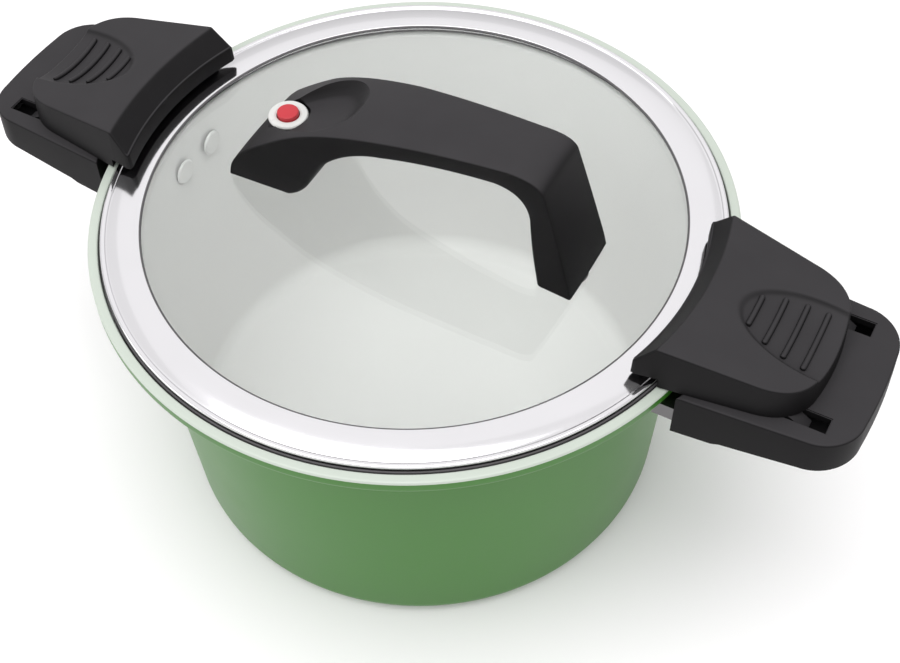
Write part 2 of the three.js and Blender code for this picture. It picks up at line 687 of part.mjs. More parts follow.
function valveSeal() {
  const under = glassUnder(VALVE_X);
  const disc = rod(9, under - 1.6, under - 0.5, VALVE_X, 0, SMOOTH_STEPS);
  return disc.subtract(rod(VALVE_FOOT_R + GAP, ...CUT_Z, VALVE_X));
}

function valveButton() {
  const socketR = STEM_R + GAP;
  const socketZ = BUTTON_TOP_Z - 1.6;
  const chamfer = 0.4;
  return aroundValve(turned([
    [0, socketZ],
    [socketR, socketZ],
    [socketR, BUTTON_BOTTOM_Z],
    [BUTTON_R, BUTTON_BOTTOM_Z],
    [BUTTON_R, BUTTON_TOP_Z - chamfer],
    [BUTTON_R - chamfer, BUTTON_TOP_Z],
    [0, BUTTON_TOP_Z],
  ], SMOOTH_STEPS));
}

function valveStem() {
  const footR = 3;
  const tipZ = BUTTON_TOP_Z - 1.9;
  return aroundValve(turned([
    [0, STEM_BOTTOM_Z],
    [footR, STEM_BOTTOM_Z],
    [footR, PLUG_Z - GAP],
    [STEM_R, PLUG_Z - GAP],
    [STEM_R, tipZ],
    [0, tipZ],
  ], ROD_STEPS));
}

function valvePlug() {
  const holeR = STEM_R + GAP;
  const plugTopZ = VALVE_FOOT_Z - GAP;
  return aroundValve(ring([
    [holeR, PLUG_Z],
    [5, PLUG_Z],
    [5, PLUG_Z + 2],
    [3.6, plugTopZ],
    [holeR, plugTopZ],
  ], SMOOTH_STEPS));
}

class Helix extends THREE.Curve {
  constructor(radius, bottom, top, turns) {
    super();
    Object.assign(this, { radius, bottom, top, turns });
  }

  getPoint(t, target = new THREE.Vector3()) {
    const angle = 2 * Math.PI * this.turns * t;
    const z = this.bottom + (this.top - this.bottom) * t;
    return target.set(this.radius * Math.cos(angle), this.radius * Math.sin(angle), z);
  }
}

function valveSpring() {
  const wire = new THREE.Shape();
  wire.absarc(0, 0, SPRING_WIRE_R, 0, 2 * Math.PI);
  const bottom = VALVE_SHOULDER_Z + 2 * SPRING_WIRE_R;
  const extrudePath = new Helix(SPRING_R, bottom, BUTTON_BOTTOM_Z - 2 * SPRING_WIRE_R, SPRING_TURNS);
  const geometry = new THREE.ExtrudeGeometry(wire, { steps: 50, curveSegments: 3, extrudePath });
  return aroundValve(closed(geometry));
}

const group = new THREE.Group();
group.add(named('pot_body', potBody(), materials.pot));
group.add(named('base_plate', basePlate(), materials.satinSteel));

const rightHandle = sideHandle('right');
const leftHandle = sideHandle('left');
leftHandle.rotation.z = Math.PI;
group.add(rightHandle, leftHandle);

group.add(named('lid_glass', lidGlass(), materials.glass));
group.add(named('lid_band', lidBand(), materials.steel));
group.add(named('lid_gasket', lidGasket(), materials.silicone));
group.add(named('lid_handle', lidHandle(), materials.plastic));
group.add(named('lid_handle_screw', lidScrew(), materials.satinSteel));
group.add(named('lid_handle_washer', lidWasher(), materials.silicone));

group.add(named('valve_sleeve', valveSleeve(), materials.steel));
group.add(named('valve_cap', valveCap(), materials.white));
group.add(named('valve_nut', valveNut(), materials.satinSteel));
group.add(named('valve_seal', valveSeal(), materials.silicone));
group.add(named('valve_button', valveButton(), materials.red));
group.add(named('valve_stem', valveStem(), materials.satinSteel));
group.add(named('valve_plug', valvePlug(), materials.silicone));
group.add(named('valve_spring', valveSpring(), materials.satinSteel));

export default group;
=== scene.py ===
# A low-pressure casserole: green pressed pot, glass lid in a steel band, two sliding locks,
# and a bridge handle that carries a red release button.
import math

import bmesh
import bpy
from mathutils import Matrix, Vector


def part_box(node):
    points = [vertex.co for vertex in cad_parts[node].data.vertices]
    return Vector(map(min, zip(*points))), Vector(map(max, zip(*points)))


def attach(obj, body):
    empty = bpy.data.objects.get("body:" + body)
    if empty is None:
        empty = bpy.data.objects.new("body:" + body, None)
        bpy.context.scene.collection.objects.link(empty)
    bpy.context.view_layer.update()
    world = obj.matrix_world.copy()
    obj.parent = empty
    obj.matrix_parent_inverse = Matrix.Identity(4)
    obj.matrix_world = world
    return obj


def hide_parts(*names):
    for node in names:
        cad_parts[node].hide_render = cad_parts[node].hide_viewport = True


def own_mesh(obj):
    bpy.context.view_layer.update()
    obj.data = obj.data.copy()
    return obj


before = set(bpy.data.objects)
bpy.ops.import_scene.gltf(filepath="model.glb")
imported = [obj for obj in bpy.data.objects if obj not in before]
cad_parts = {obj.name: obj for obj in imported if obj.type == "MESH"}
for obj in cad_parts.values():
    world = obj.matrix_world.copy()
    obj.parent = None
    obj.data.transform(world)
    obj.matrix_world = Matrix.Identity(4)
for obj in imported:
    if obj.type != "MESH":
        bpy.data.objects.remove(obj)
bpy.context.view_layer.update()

# ---- Pot body -------------------------------------------------------------------------------
# One aluminium pressing with a wide rolled flange. A satin green ceramic coat covers the outside,
# and a pale ceramic coat covers the flat top edge, the gasket ledge and the inside.
MM = 0.001


def box_mm(node):
    low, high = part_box(node)
    return low / MM, high / MM


def rounded(corners, closed=False, steps=6):
    """Points of an outline whose (a, b, radius) corners are turned into arcs."""
    points = []
    count = len(corners)
    for i, (a, b, radius) in enumerate(corners):
        here = Vector((a, b))
        end = not closed and i in (0, count - 1)
        if radius <= 0 or end:
            points.append(here)
            continue
        before = Vector(corners[i - 1][:2]) - here
        after = Vector(corners[(i + 1) % count][:2]) - here
        half = before.angle(after) / 2
        reach = min(radius / math.tan(half), 0.49 * before.length, 0.49 * after.length)
        radius = reach * math.tan(half)
        inward = (before.normalized() + after.normalized()).normalized()
        middle = here + inward * radius / math.sin(half)
        first = here + before.normalized() * reach - middle
        turn = first.angle_signed(here + after.normalized() * reach - middle)
        for k in range(steps + 1):
            points.append(middle + Matrix.Rotation(-turn * k / steps, 2) @ first)
    return points


def piece(name, verts, faces, material, sharp=35, materials=None, face_material=None):
    """A closed, outward-facing mesh in metres from millimetre points."""
    mesh = bpy.data.meshes.new(name)
    mesh.from_pydata([Vector(v) * MM for v in verts], [], faces)
    for extra in materials or [material]:
        mesh.materials.append(extra)
    if face_material:
        mesh.polygons.foreach_set("material_index", face_material)
    work = bmesh.new()
    work.from_mesh(mesh)
    bmesh.ops.remove_doubles(work, verts=work.verts, dist=1e-7)
    bmesh.ops.recalc_face_normals(work, faces=work.faces)
    work.to_mesh(mesh)
    work.free()
    shade(mesh, sharp)
    made = bpy.data.objects.new(name, mesh)
    bpy.context.scene.collection.objects.link(made)
    return made


def shade(mesh, sharp):
    mesh.polygons.foreach_set("use_smooth", [True] * len(mesh.polygons))
    mesh.set_sharp_from_angle(angle=math.radians(sharp))
    mesh.update()


def turned(name, profile, material, centre=(0, 0), steps=160, closed=False, sharp=35,
           materials=None, starts=()):
    """Revolves (radius, height) points about an upright axis through centre.

    starts lists the profile points at which each later material takes over.
    """
    rows = len(profile)
    verts = []
    for i in range(steps):
        angle = 2 * math.pi * i / steps
        for r, z in profile:
            verts.append((centre[0] + r * math.cos(angle), centre[1] + r * math.sin(angle), z))
    faces = []
    bands = []
    for i in range(steps):
        for j in range(rows if closed else rows - 1):
            k = (j + 1) % rows
            a, b = i * rows, (i + 1) % steps * rows
            if profile[j][0] < 1e-6:
                faces.append((a + j, b + k, a + k))
            elif profile[k][0] < 1e-6:
                faces.append((a + j, b + j, a + k))
            else:
                faces.append((a + j, b + j, b + k, a + k))
            bands.append(sum(j >= start for start in starts))
    return piece(name, verts, faces, material, sharp, materials, bands)


def finish(name, colour, roughness, metallic=0.0, shift=0.04, shift_size=40, rough_shift=0.05,
           grain=0.4, grain_depth=0.01, painted_side_shade=1.0, **constants):
    """A Principled finish in a base colour, with drifting tone, drifting gloss and a fine grain.

    The base colour of faces that stand upright is scaled down to the given share for sides: painted
    shade, since upright faces catch less light than the tops.
    """
    material = bpy.data.materials.new(name)
    material.use_nodes = True
    nodes, links = material.node_tree.nodes, material.node_tree.links
    shader = nodes["Principled BSDF"]
    shader.inputs["Metallic"].default_value = metallic
    for socket, value in constants.items():
        shader.inputs[socket.replace("_", " ")].default_value = value
    place = nodes.new("ShaderNodeTexCoord")
    tone = nodes.new("ShaderNodeTexNoise")
    tone.inputs["Scale"].default_value = 1 / (shift_size * MM)
    tone.inputs["Detail"].default_value = 4
    links.new(place.outputs["Object"], tone.inputs["Vector"])
    ramp = nodes.new("ShaderNodeValToRGB")
    for element, factor in zip(ramp.color_ramp.elements, (1 - shift, 1 + shift)):
        element.color = (*[min(1, c * factor) for c in colour], 1)
    links.new(tone.outputs["Fac"], ramp.inputs["Fac"])
    # Painted shade: the base colour is scaled down on faces that stand upright.
    facing = nodes.new("ShaderNodeSeparateXYZ")
    links.new(place.outputs["Normal"], facing.inputs["Vector"])
    side_shade_factor = nodes.new("ShaderNodeMapRange")
    side_shade_factor.interpolation_type = "SMOOTHSTEP"
    side_shade_factor.inputs["From Min"].default_value = 0.45
    side_shade_factor.inputs["From Max"].default_value = 1.0
    side_shade_factor.inputs["To Min"].default_value = painted_side_shade
    links.new(facing.outputs["Z"], side_shade_factor.inputs["Value"])
    shaded = nodes.new("ShaderNodeVectorMath")
    shaded.operation = "SCALE"
    links.new(ramp.outputs["Color"], shaded.inputs["Vector"])
    links.new(side_shade_factor.outputs["Result"], shaded.inputs["Scale"])
    links.new(shaded.outputs["Vector"], shader.inputs["Base Color"])
    gloss = nodes.new("ShaderNodeMapRange")
    gloss.inputs["To Min"].default_value = max(0, roughness - rough_shift)
    gloss.inputs["To Max"].default_value = roughness + rough_shift
    links.new(tone.outputs["Fac"], gloss.inputs["Value"])
    links.new(gloss.outputs["Result"], shader.inputs["Roughness"])
    grit = nodes.new("ShaderNodeTexNoise")
    grit.inputs["Scale"].default_value = 1 / (grain * MM)
    grit.inputs["Detail"].default_value = 3
    links.new(place.outputs["Object"], grit.inputs["Vector"])
    bump = nodes.new("ShaderNodeBump")
    bump.inputs["Distance"].default_value = grain_depth * MM
    links.new(grit.outputs["Fac"], bump.inputs["Height"])
    links.new(bump.outputs["Normal"], shader.inputs["Normal"])
    return material


green_enamel = finish("green_enamel", (0.038, 0.165, 0.014), 0.34, shift=0.05, shift_size=60,
                      grain=1.2, grain_depth=0.012, Specular_IOR_Level=0.35)
# One pale coat in two colours: the rim's copy is painted darker to offset the strong light on it
# (painted shade), and the inside's copy is painted paler to make up for the light that the lid and
# walls keep out (painted light).
rim_ceramic_painted_shade = finish("rim_ceramic_painted_shade", (0.5, 0.55, 0.49), 0.3, shift=0.02, grain=1.5,
                     grain_depth=0.006, Coat_Weight=0.2, Coat_Roughness=0.15)
inner_ceramic_painted_light = finish("inner_ceramic_painted_light", (0.77, 0.762, 0.756), 0.55, shift=0.02, grain=1.5,
                       grain_depth=0.004, Specular_IOR_Level=0.3)

pot_low, pot_high = box_mm("pot_body")
base_high = box_mm("base_plate")[1]
gasket_low, gasket_high = box_mm("lid_gasket")
rim_r = pot_high.x
rim_z = pot_high.z
seat_z = gasket_low.z - 0.3
ledge_r = gasket_high.x + 0.5
foot_z = pot_low.z
wall_foot_r = rim_r - 24.9
wall_top_r = rim_r - 17
wall = 2.9
floor_z = base_high.z + 2.3
rebate_r = base_high.x + 0.3
pot_profile = rounded([
    (0, base_high.z + 0.3, 0),
    (rebate_r, base_high.z + 0.3, 0.2),
    (rebate_r, foot_z, 0.3),
    (wall_foot_r, foot_z, 10),
    (wall_top_r - 0.1, rim_z - 13, 20),
    (wall_top_r + 0.3, rim_z - 9.3, 2.4),
    (rim_r - 3.4, rim_z - 8.6, 5),
    (rim_r, rim_z - 5.5, 3.4),
    (rim_r, rim_z, 1.1),
    (ledge_r + 0.2, rim_z, 0.7),
    (ledge_r, seat_z, 0.6),
    (wall_top_r - wall + 0.1, seat_z, 1.6),
    (wall_foot_r - wall - 0.4, floor_z, 9),
    (0, floor_z, 0),
], steps=8)
rim_start = next(i for i, p in enumerate(pot_profile) if p.y > rim_z - 1.2)
inner_start = next(i for i, p in enumerate(pot_profile) if i > rim_start and p.y < seat_z + 0.1)
pot = turned("pot_shell", pot_profile, green_enamel, steps=256, starts=(rim_start, inner_start),
             materials=[green_enamel, rim_ceramic_painted_shade, inner_ceramic_painted_light])
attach(pot, "pot")
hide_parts("pot_body")

# ---- Foot disc ------------------------------------------------------------------------------
# A stainless steel disc pressed into the foot so that the pot heats on an induction hob.
# It is spun with shallow rings, which give it grip and let it grow when hot.


def spun_steel(name, colour, roughness, ring_size=0.35, ring_depth=0.004):
    """Steel turned on a lathe: very fine rings round the pot's axis, in its bump."""
    material = finish(name, colour, roughness, metallic=1, shift=0.02, shift_size=25,
                      rough_shift=0.02, grain=0.5, grain_depth=0.001)
    nodes, links = material.node_tree.nodes, material.node_tree.links
    place = nodes["Texture Coordinate"]
    flat = nodes.new("ShaderNodeVectorMath")
    flat.operation = "MULTIPLY"
    flat.inputs[1].default_value = (1, 1, 0)
    links.new(place.outputs["Object"], flat.inputs[0])
    reach = nodes.new("ShaderNodeVectorMath")
    reach.operation = "LENGTH"
    links.new(flat.outputs["Vector"], reach.inputs[0])
    rings = nodes.new("ShaderNodeTexNoise")
    rings.noise_dimensions = "1D"
    rings.inputs["Scale"].default_value = 1 / (ring_size * MM)
    rings.inputs["Detail"].default_value = 3
    links.new(reach.outputs["Value"], rings.inputs["W"])
    bump = nodes.new("ShaderNodeBump")
    bump.inputs["Distance"].default_value = ring_depth * MM
    links.new(rings.outputs["Fac"], bump.inputs["Height"])
    links.new(nodes["Bump"].outputs["Normal"], bump.inputs["Normal"])
    links.new(bump.outputs["Normal"], nodes["Principled BSDF"].inputs["Normal"])
    return material


disc_steel = spun_steel("disc_steel", (0.62, 0.61, 0.6), 0.3, ring_size=0.6, ring_depth=0.02)
disc_r = base_high.x
groove_depth = 0.35
disc_corners = [(0, base_high.z, 0), (disc_r, base_high.z, 0.3), (disc_r, 0, 0.5)]
for groove_r in range(80, 12, -12):
    disc_corners += [
        (groove_r + 2, 0, 0.2),
        (groove_r + 1, groove_depth, 0.3),
        (groove_r - 1, groove_depth, 0.3),
        (groove_r - 2, 0, 0.2),
    ]
disc_corners.append((0, 0, 0))
disc = turned("foot_disc", rounded(disc_corners, steps=3), disc_steel, steps=128)
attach(disc, "pot")
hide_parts("base_plate")

# ---- Handle brackets and rivets -------------------------------------------------------------
# Pressed steel brackets, one each side. Two rivets hold each to the pot's wall, with wide flat
# heads inside the pot, under the same pale coat. The tongue and the two cheeks reach into the grip.
satin_steel = finish("satin_steel", (0.17, 0.165, 0.17), 0.34, metallic=1, shift=0.06, shift_size=12,
                     grain=0.3, grain_depth=0.004)


def soften(node, body, material, width=0.3, sharp=35):
    """A plain part, mostly out of sight, with its own finish and small rounded edges."""
    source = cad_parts[node]
    made = bpy.data.objects.new(f"{node}_part", source.data.copy())
    made.data.transform(source.matrix_world)
    bpy.context.scene.collection.objects.link(made)
    made.data.materials.clear()
    made.data.materials.append(material)
    edges = made.modifiers.new("edges", "BEVEL")
    edges.width = width * MM
    edges.segments = 3
    edges.limit_method = "ANGLE"
    edges.angle_limit = math.radians(40)
    edges.use_clamp_overlap = True
    shade(made.data, sharp)
    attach(made, body)
    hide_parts(node)
    return made


def laid_over(made, point, direction):
    """Moves an upright turned piece so that its foot is at point and its axis along direction."""
    turn = Vector((0, 0, 1)).rotation_difference(Vector(direction)).to_matrix().to_4x4()
    made.data.transform(Matrix.Translation(Vector(point) * MM) @ turn)
    return made


SIDES = {"right": 1, "left": -1}
for side, sign in SIDES.items():
    soften(f"{side}_bracket", "pot", satin_steel, 0.4)
    for letter in "ab":
        low, high = box_mm(f"{side}_rivet_{letter}")
        tip = (low.x if sign > 0 else high.x, (low.y + high.y) / 2, (low.z + high.z) / 2)
        length = high.x - low.x
        rivet_profile = rounded([
            (0, 0.3, 0), (5, 0.4, 0.4), (5.7, 1, 0.3), (5.7, 1.5, 0.2), (2.5, 1.5, 0),
            (2.5, length - 1.6, 0), (4.2, length - 1.6, 0.2), (3.6, length, 0.9), (0, length, 0),
        ])
        shank = next(i for i, p in enumerate(rivet_profile) if p.y > 1.45)
        rivet = turned(f"{side}_pot_rivet_{letter}", rivet_profile, inner_ceramic_painted_light, steps=40,
                       materials=[inner_ceramic_painted_light, satin_steel], starts=(shank,))
        laid_over(rivet, tip, (sign, 0, 0))
        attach(rivet, "pot")
        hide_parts(f"{side}_rivet_{letter}")

# ---- Lower grips ----------------------------------------------------------------------------
# Matt black phenolic trays screwed to the brackets. Each has two slots in its flat top for the
# lock's legs, a deeper collar next to the pot, and a cover let into its underside.
# Painted shade: the upright faces of the black plastic get 22% of its base colour, as they catch less
# light than the tops.
black_plastic = finish("black_plastic", (0.037, 0.035, 0.0375), 0.5, shift=0.12, shift_size=18,
                       rough_shift=0.04, grain=0.28, grain_depth=0.012, painted_side_shade=0.22,
                       Specular_IOR_Level=0.1)


def offset(outline, distance):
    """The closed outline moved to the left of its own direction by distance."""
    moved = []
    for i, point in enumerate(outline):
        along = outline[(i + 1) % len(outline)] - outline[i - 1]
        moved.append(point + Vector((-along.y, along.x)).normalized() * distance)
    return moved


def arc(centre, radius, start, stop, steps):
    points = []
    for i in range(steps + 1):
        angle = math.radians(start + (stop - start) * i / steps)
        points.append(Vector(centre) + radius * Vector((math.cos(angle), math.sin(angle))))
    return points


def bezier(start, control, end, steps):
    points = []
    for i in range(1, steps + 1):
        t = i / steps
        points.append(start.lerp(control, t).lerp(control.lerp(end, t), t))
    return points


def cut(made, *cutters):
    """Takes the cutters' volume out of a piece, for good."""
    for cutter in cutters:
        step = made.modifiers.new("cut", "BOOLEAN")
        step.operation = "DIFFERENCE"
        step.solver = "MANIFOLD"
        step.object = cutter
    graph = bpy.context.evaluated_depsgraph_get()
    mesh = bpy.data.meshes.new_from_object(made.evaluated_get(graph))
    material = made.data.materials[0]
    made.modifiers.clear()
    made.data = mesh
    mesh.materials.clear()
    mesh.materials.append(material)
    mesh.polygons.foreach_set("material_index", [0] * len(mesh.polygons))
    shade(mesh, 35)
    for cutter in cutters:
        bpy.data.objects.remove(cutter)
    return made


def brick(name, x, y, z, rounding=0.0):
    """A box between pairs of limits, with its edges rounded."""
    work = bmesh.new()
    bmesh.ops.create_cube(work, size=1)
    for vert in work.verts:
        for axis, (low, high) in enumerate((x, y, z)):
            vert.co[axis] = low + (vert.co[axis] + 0.5) * (high - low)
    if rounding:
        bmesh.ops.bevel(work, geom=work.edges[:], offset=rounding, segments=3, profile=0.5,
                        affect="EDGES")
    verts = [v.co[:] for v in work.verts]
    faces = [[v.index for v in f.verts] for f in work.faces]
    work.free()
    return piece(name, verts, faces, None)


def prism(name, side_line, y, material=None):
    """A flat-sided bar: an (x, z) outline spread between two y limits."""
    count = len(side_line)
    verts = [(x, y[0], z) for x, z in side_line] + [(x, y[1], z) for x, z in side_line]
    faces = [list(range(count)), list(range(count, 2 * count))]
    for i in range(count):
        j = (i + 1) % count
        faces.append((i, j, count + j, count + i))
    return piece(name, verts, faces, material)


grip_low, grip_high = box_mm("right_grip")
grip_top = grip_high.z
grip_end = grip_high.x
grip_half = grip_high.y
grip_inner_r = rim_r + 4.7
SLOT_Y = (22, 29)
SLOT_END = grip_end - 13
SLOT_START = 150
GRIP_EDGE = 1.0
GRIP_WALL = 3.0
WAIST_X, WAIST_IN = 160, 1.8
END_TAPER = 3.5
COLLAR_START, COLLAR_END = 130, 150
COLLAR_RISE, SLOPE_RISE = 0.7, 4.9
SLOPE_LOW_Z = 125.7


def grip_outline():
    corner_r = 18
    outer_half = grip_half - END_TAPER
    corner_x = grip_end - 0.5 - corner_r
    corner_y = outer_half - corner_r
    inner_deg = math.degrees(math.asin(grip_half / grip_inner_r))
    outline = arc((0, 0), grip_inner_r, inner_deg, -inner_deg, 30)
    outline += bezier(outline[-1], Vector((WAIST_X, WAIST_IN - grip_half)),
                      Vector((corner_x, -outer_half)), 16)
    outline += arc((corner_x, -corner_y), corner_r, -90, 0, 16)[1:]
    outline += bezier(outline[-1], Vector((corner_x + corner_r + 1.6, 0)),
                      Vector((corner_x + corner_r, corner_y)), 16)
    outline += arc((corner_x, corner_y), corner_r, 0, 90, 16)[1:]
    outline += bezier(outline[-1], Vector((WAIST_X, grip_half - WAIST_IN)), outline[0], 16)[:-1]
    return outline


def grip_underside(x):
    """Height of the tray's lower edge: the collar, a short step, then a slope up to the end."""
    slope_start, slope_end = COLLAR_END + 1, grip_end + 3.5
    collar = grip_low.z + COLLAR_RISE * (x - COLLAR_START) / (COLLAR_END - COLLAR_START)
    slope = SLOPE_LOW_Z + SLOPE_RISE * (x - slope_start) / (slope_end - slope_start)
    step = min(1, max(0, x - COLLAR_END))
    return collar + (slope - collar) * step


def tray(name):
    outline = grip_outline()
    count = len(outline)
    loops = []
    steps = 5
    for k in range(steps + 1):
        angle = math.pi / 2 * k / steps
        inset = GRIP_EDGE * (1 - math.sin(angle)) + 0.35
        height = grip_top - GRIP_EDGE * (1 - math.cos(angle))
        loops.append([(p, height) for p in offset(outline, inset)])
    loops.append([(p, grip_underside(p.x) + 0.5) for p in outline])
    loops.append([(p, grip_underside(p.x)) for p in offset(outline, 0.5)])
    loops.append([(p, grip_underside(p.x)) for p in offset(outline, GRIP_WALL - 0.4)])
    loops.append([(p, grip_underside(p.x) + 0.4) for p in offset(outline, GRIP_WALL)])
    loops.append([(p, grip_top - 3.4) for p in offset(outline, GRIP_WALL)])
    verts = [(p.x, p.y, z) for loop in loops for p, z in loop]
    faces = [list(range(count)), list(range(len(verts) - count, len(verts)))]
    for j in range(len(loops) - 1):
        for i in range(count):
            k = (i + 1) % count
            faces.append((j * count + i, j * count + k, (j + 1) * count + k, (j + 1) * count + i))
    return piece(name, verts, faces, black_plastic)


right_tray = tray("right_grip_tray")
for y_sign in (1, -1):
    slot_y = sorted((SLOT_Y[0] * y_sign, SLOT_Y[1] * y_sign))
    slot = prism("slot", [
        (SLOT_START, grip_top - 8), (SLOT_END + 6.5, grip_top - 8), (SLOT_END + 6.5, grip_top - 4.4),
        (SLOT_END, grip_top - 0.6), (SLOT_END, grip_top + 5), (SLOT_START, grip_top + 5),
    ], slot_y)
    lead_in_y = (slot_y[0] - 0.4, slot_y[1] + 0.4)
    lead_in_x = (SLOT_START - 0.5, SLOT_END + 0.4)
    lead_in = brick("lead_in", lead_in_x, lead_in_y, (grip_top - 0.4, grip_top + 5))
    cut(right_tray, slot, lead_in)
tongue_top = box_mm("right_bracket")[1].z
tongue_gap = brick("tongue_gap", (120, 144), (-14.4, 14.4), (tongue_top - 2.8, tongue_top + 0.3))
cut(right_tray, tongue_gap)


def other_side(made, name):
    """The same part on the opposite handle, which is the first turned half a turn."""
    twin = bpy.data.objects.new(name, made.data.copy())
    twin.data.transform(Matrix.Rotation(math.pi, 4, "Z"))
    bpy.context.scene.collection.objects.link(twin)
    return twin


left_tray = other_side(right_tray, "left_grip_tray")
for side, made in (("right", right_tray), ("left", left_tray)):
    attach(made, "pot")
    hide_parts(f"{side}_grip")
    soften(f"{side}_grip_cover", "pot", black_plastic, 0.3)

# ---- Screws ---------------------------------------------------------------------------------
# Stainless pan-head screws with a cross recess, all driven upward from underneath: one through
# each bracket's tongue, one in each cover, two in each lock's steel plate, one in the lid handle.


def pan_screw(node, body, head_r, head_t, shank_r):
    low, high = box_mm(node)
    x, y = (low.x + high.x) / 2, (low.y + high.y) / 2
    profile = rounded([
        (0, low.z, 0),
        (head_r * 0.8, low.z, head_t * 0.7),
        (head_r, low.z + head_t * 0.75, 0.2),
        (head_r, low.z + head_t, 0.1),
        (shank_r, low.z + head_t, 0.1),
        (shank_r, high.z - 1, 0),
        (0, high.z, 0),
    ], steps=5)
    made = turned(f"{node}_head", profile, satin_steel, centre=(x, y), steps=32)
    arm, half = head_r * 0.5, head_r * 0.11
    depth = (low.z - 1, low.z + head_t * 0.6)
    across = brick("recess", (x - arm, x + arm), (y - half, y + half), depth)
    along = brick("recess", (x - half, x + half), (y - arm, y + arm), depth)
    cut(made, across, along)
    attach(made, body)
    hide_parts(node)


for side in SIDES:
    pan_screw(f"{side}_bracket_screw", "pot", 3.8, 2.0, 1.7)
    pan_screw(f"{side}_cover_screw", "pot", 2.8, 1.7, 1.3)
    for letter in "ab":
        pan_screw(f"{side}_lock_screw_{letter}", f"{side}_lock", 2.8, 1.6, 1.3)
pan_screw("lid_handle_screw", "lid", 4.2, 2.2, 1.7)

# ---- Sliding locks --------------------------------------------------------------------------
# Black phenolic slides that run on the grips. A lip hooks over the lid's band when the lock is
# pushed in. The top falls away from the pot and has a thumb scoop crossed by four ribs.
lock_end = box_mm("right_lock_slider")[1].x
lip_r = 121.5
lip_z = rim_z + 5.3
lip_top = lip_z + 6.8
lock_under_z = grip_top + 0.3
crest_r = lip_r + 6.9
crest_z = lip_top + 8.9
step_r = rim_r - 3.4
top_slope = 0.14
LOCK_EDGE = 0.9
LOCK_DRAFT = 0.6
SCOOP = {"x": 175, "long": 35, "wide": 19, "deep": 5.0}
RIBS = ((147.5, 8.2), (155.7, 12.4), (163.9, 14.4), (172.1, 15.2))
RIB_R = 1.2
ACROSS = 150


def lock_sides(v):
    """Inner, crest and outer point of the lock's plan for v from -1 to 1 across it."""
    inner_half, crest_half = 38.4, 37.3
    inner_angle = math.asin(inner_half / lip_r) * v
    inner = Vector((math.cos(inner_angle), math.sin(inner_angle))) * (lip_r + 0.5)
    crest_angle = math.asin(crest_half / crest_r) * v
    crest = Vector((math.cos(crest_angle), math.sin(crest_angle))) * crest_r
    return inner, crest, lock_end_point(v)


def lock_end_line():
    """The outer end of the lock's plan: two round corners and a slightly bowed end."""
    start_x, half = lock_end - 22.5, 32.2
    right = bezier(Vector((start_x, -half)), Vector((lock_end - 7, -half + 1.7)),
                   Vector((lock_end - 3.6, -18)), 30)
    bow = bezier(right[-1], Vector((lock_end - 0.4, 0)), Vector((lock_end - 3.6, 18)), 30)
    left = bezier(bow[-1], Vector((lock_end - 7, half - 1.7)), Vector((start_x, half)), 30)
    return [Vector((start_x, -half))] + right + bow + left


end_line = lock_end_line()


def lock_end_point(v):
    place = (v + 1) / 2 * (len(end_line) - 1)
    i = min(int(place), len(end_line) - 2)
    return end_line[i].lerp(end_line[i + 1], place - i)


def lock_height(p):
    """Height of the lock's upper surface over a plan point."""
    top = crest_z - top_slope * (p.x - crest_r)
    cone = lip_top + (p.length - lip_r) * (crest_z - lip_top) / (crest_r - lip_r)
    blend = 0.7
    mix = max(0, blend - abs(top - cone)) / blend
    height = min(top, cone) - mix * mix * blend / 4
    reach = ((p.x - SCOOP["x"]) / SCOOP["long"]) ** 2 + (p.y / SCOOP["wide"]) ** 2
    if reach < 1:
        rim = min(1, (1 - reach) / 0.2)
        height -= SCOOP["deep"] * (1 - reach) ** 0.7 * rim * rim * (3 - 2 * rim)
    return height


def lock_body(name):
    near_crest = [0, 0.08, 0.16, 0.25, 0.35, 0.46, 0.58, 0.7, 0.8, 0.87, 0.94, 1]
    beyond = [i / 110 for i in range(1, 111)]
    lines = [lock_sides(-1 + 2 * j / ACROSS) for j in range(ACROSS + 1)]
    rows = []
    for share in near_crest:
        rows.append([inner.lerp(crest, share) for inner, crest, end in lines])
    for share in beyond:
        rows.append([crest.lerp(end, share) for inner, crest, end in lines])
    wide = ACROSS + 1
    verts = [(p.x, p.y, lock_height(p)) for row in rows for p in row]
    faces = []
    for i in range(len(rows) - 1):
        for j in range(ACROSS):
            a = i * wide + j
            faces.append((a, a + 1, a + 1 + wide, a + wide))
    last = len(rows) - 1
    loop = [j for j in range(wide)]
    loop += [i * wide + ACROSS for i in range(1, last + 1)]
    loop += [last * wide + j for j in range(ACROSS - 1, -1, -1)]
    loop += [i * wide for i in range(last - 1, 0, -1)]
    edge = [Vector(verts[k][:2]) for k in loop]
    count = len(loop)
    previous = loop
    steps = 4
    for k in range(1, steps + 1):
        angle = math.pi / 2 * k / steps
        spread = offset(edge, LOCK_EDGE * math.sin(angle))
        first = len(verts)
        for p, source in zip(spread, loop):
            verts.append((p.x, p.y, verts[source][2] - LOCK_EDGE * (1 - math.cos(angle))))
        current = list(range(first, first + count))
        for i in range(count):
            j = (i + 1) % count
            faces.append((previous[i], previous[j], current[j], current[i]))
        previous = current
    foot = offset(edge, LOCK_EDGE + LOCK_DRAFT)
    first = len(verts)
    verts += [(p.x, p.y, lock_under_z) for p in foot]
    current = list(range(first, first + count))
    for i in range(count):
        j = (i + 1) % count
        faces.append((previous[i], previous[j], current[j], current[i]))
    faces.append(current)
    made = piece(name, verts, faces, black_plastic, sharp=50)
    over_lid = turned("over_lid", [
        (0, 130), (step_r, 130), (step_r, lip_z - 0.6), (step_r - 0.6, lip_z), (0, lip_z),
    ], black_plastic, steps=256)
    pocket = brick("pocket", (136, 174), (-20, 20), (140, lip_z + 2.5), rounding=2)
    return cut(made, over_lid, pocket)


